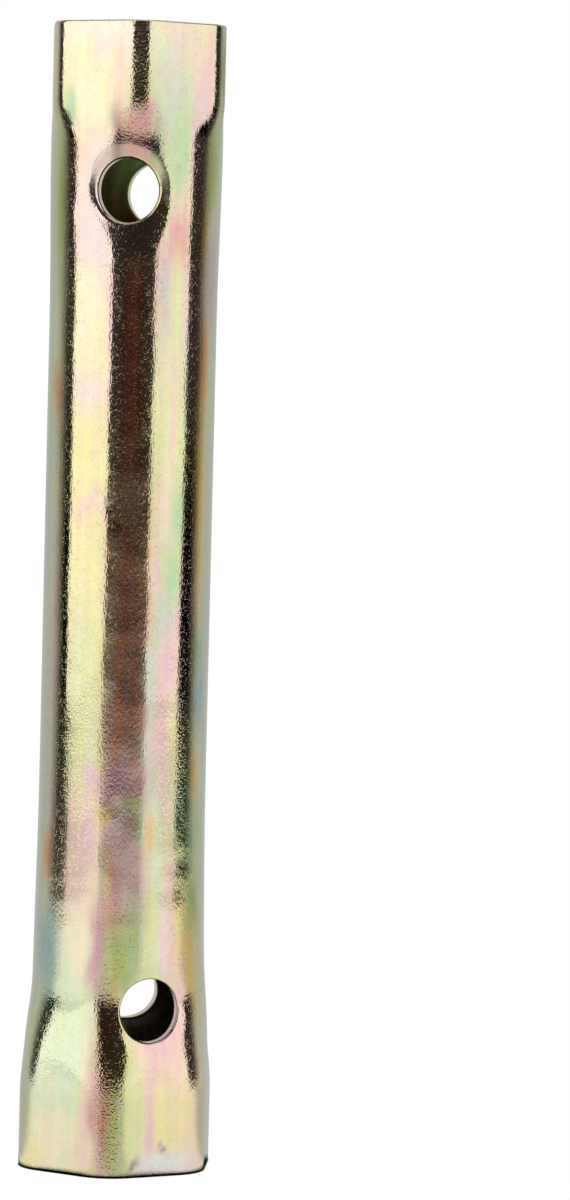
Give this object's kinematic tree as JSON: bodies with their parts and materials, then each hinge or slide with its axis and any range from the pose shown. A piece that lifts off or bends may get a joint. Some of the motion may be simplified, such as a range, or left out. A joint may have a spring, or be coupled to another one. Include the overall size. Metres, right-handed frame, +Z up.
{
  "type": "double-ended socket wrench",
  "caption": "Tubular box wrench: one steel tube with a pressed hexagonal socket at each end and cross holes near the ends for a turning bar.",
  "frame": {"origin": "centre of the lower rim, the larger socket's mouth, on which the wrench stands", "axes": "+Z up along the tube's axis to the smaller socket, +X square to a pair of hexagon flats to within 5 degrees, -Y to the front, where a corner of each hexagon faces to within 5 degrees"},
  "size_m": [0.0264, 0.0278, 0.157],
  "materials": {
    "yellow_zinc_steel": "iridescent yellow zinc plating with pink and green bloom, fine grain, semi-bright"
  },
  "bodies": {
    "root": {"wrench_tube": "yellow_zinc_steel"}
  },
  "joints": []
}
